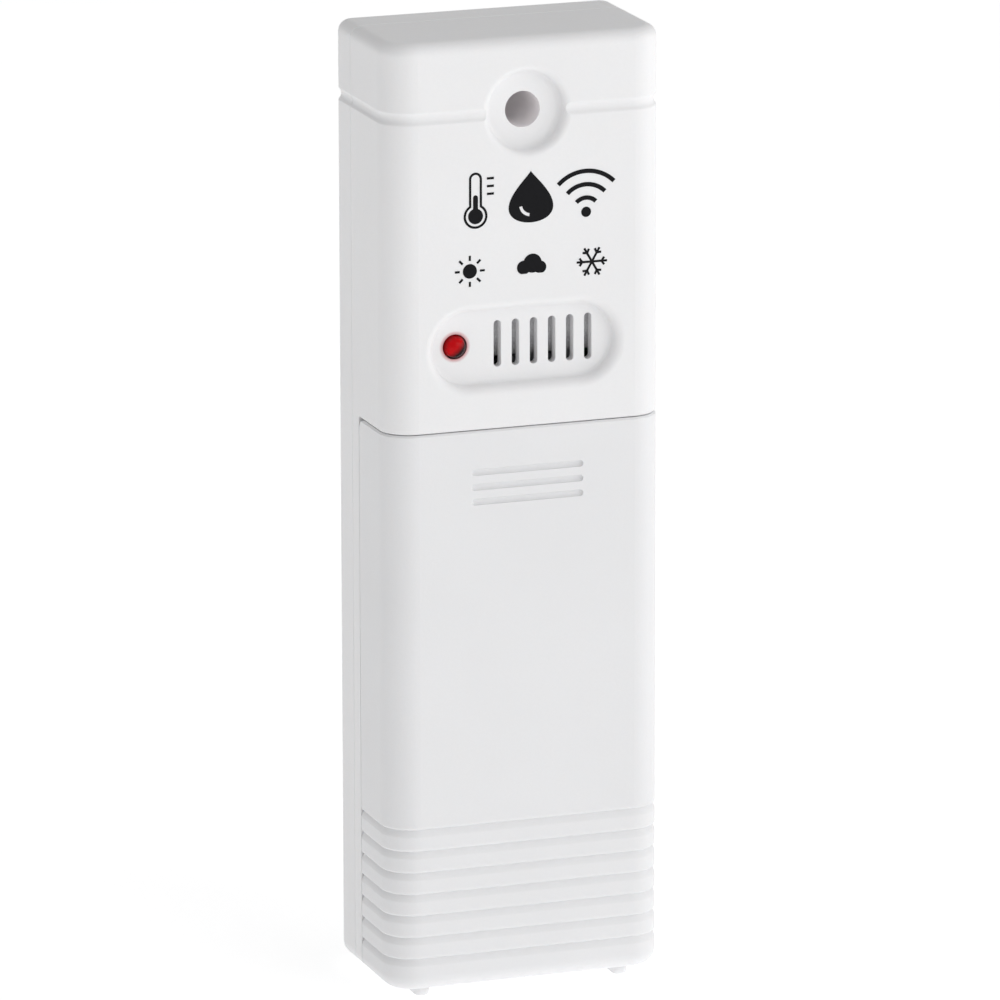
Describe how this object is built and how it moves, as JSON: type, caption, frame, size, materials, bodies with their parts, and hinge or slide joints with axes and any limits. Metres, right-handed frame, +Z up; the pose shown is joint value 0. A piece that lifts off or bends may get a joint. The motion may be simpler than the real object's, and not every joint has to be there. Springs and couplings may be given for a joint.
{
  "type": "wireless weather transmitter",
  "caption": "Slim white outdoor temperature and humidity transmitter with a red status lamp, vent slots, a wall screw hole and a slide-down ribbed battery cover.",
  "frame": {"origin": "on the surface the feet stand on, under the middle of the case", "axes": "+X to the right seen from the front, +Y out of the back (towards the wall), +Z up"},
  "size_m": [0.0382, 0.0212, 0.1283],
  "materials": {
    "case_white": "fine moulded texture",
    "cover_white": "fine moulded texture",
    "lamp_red": "clear moulded",
    "board_green": "solder mask",
    "chip_black": "moulded",
    "sensor_grey": "moulded",
    "bead_dark": "dipped",
    "wire_tinned": "tinned",
    "coil_copper": "enamelled wire",
    "can_steel": "satin",
    "capacitor_sleeve": "printed sleeve",
    "ceramic_tan": "fired",
    "contact_steel": "nickel plated",
    "cell_jacket": "printed jacket",
    "switch_black": "moulded",
    "switch_shell": "plated",
    "button_grey": "moulded",
    "screw_steel": "zinc plated",
    "filter_grey": "felt",
    "print_ink": "pad printed"
  },
  "bodies": {
    "housing": {"front_housing": "case_white", "back_cover": "case_white", "vent_filter": "filter_grey", "battery_left": "cell_jacket", "battery_right": "cell_jacket", "contact_plate_positive": "contact_steel", "contact_plate_negative": "contact_steel", "contact_plate_link": "contact_steel", "contact_spring_upper": "contact_steel", "contact_spring_lower": "contact_steel", "circuit_board": "board_green", "status_lamp": "lamp_red", "status_lamp_leads": "wire_tinned", "humidity_sensor": "sensor_grey", "thermistor": "bead_dark", "controller_chip": "chip_black", "radio_chip": "chip_black", "timing_crystal": "can_steel", "antenna_coil": "coil_copper", "buffer_capacitor": "capacitor_sleeve", "chip_resistors": "chip_black", "ceramic_capacitors": "ceramic_tan", "transmit_switch_body": "switch_black", "channel_switch_body": "switch_shell", "case_screws": "screw_steel", "board_screws": "screw_steel"},
    "battery_cover": {"battery_cover": "cover_white"},
    "transmit_button": {"transmit_button": "button_grey", "transmit_switch_plunger": "switch_black"},
    "channel_knob": {"channel_switch_knob": "switch_black"}
  },
  "joints": [
    {"name": "cover_slide", "type": "slide", "parent": "housing", "child": "battery_cover", "axis": [0, 0, -1], "range_m": [0, 0.08]},
    {"name": "transmit_press", "type": "slide", "parent": "housing", "child": "transmit_button", "axis": [0, 1, 0], "range_m": [0, 0.0004], "stiffness_N_per_m": 3000},
    {"name": "channel_slide", "type": "slide", "parent": "housing", "child": "channel_knob", "axis": [1, 0, 0], "range_m": [0, 0.004]}
  ]
}
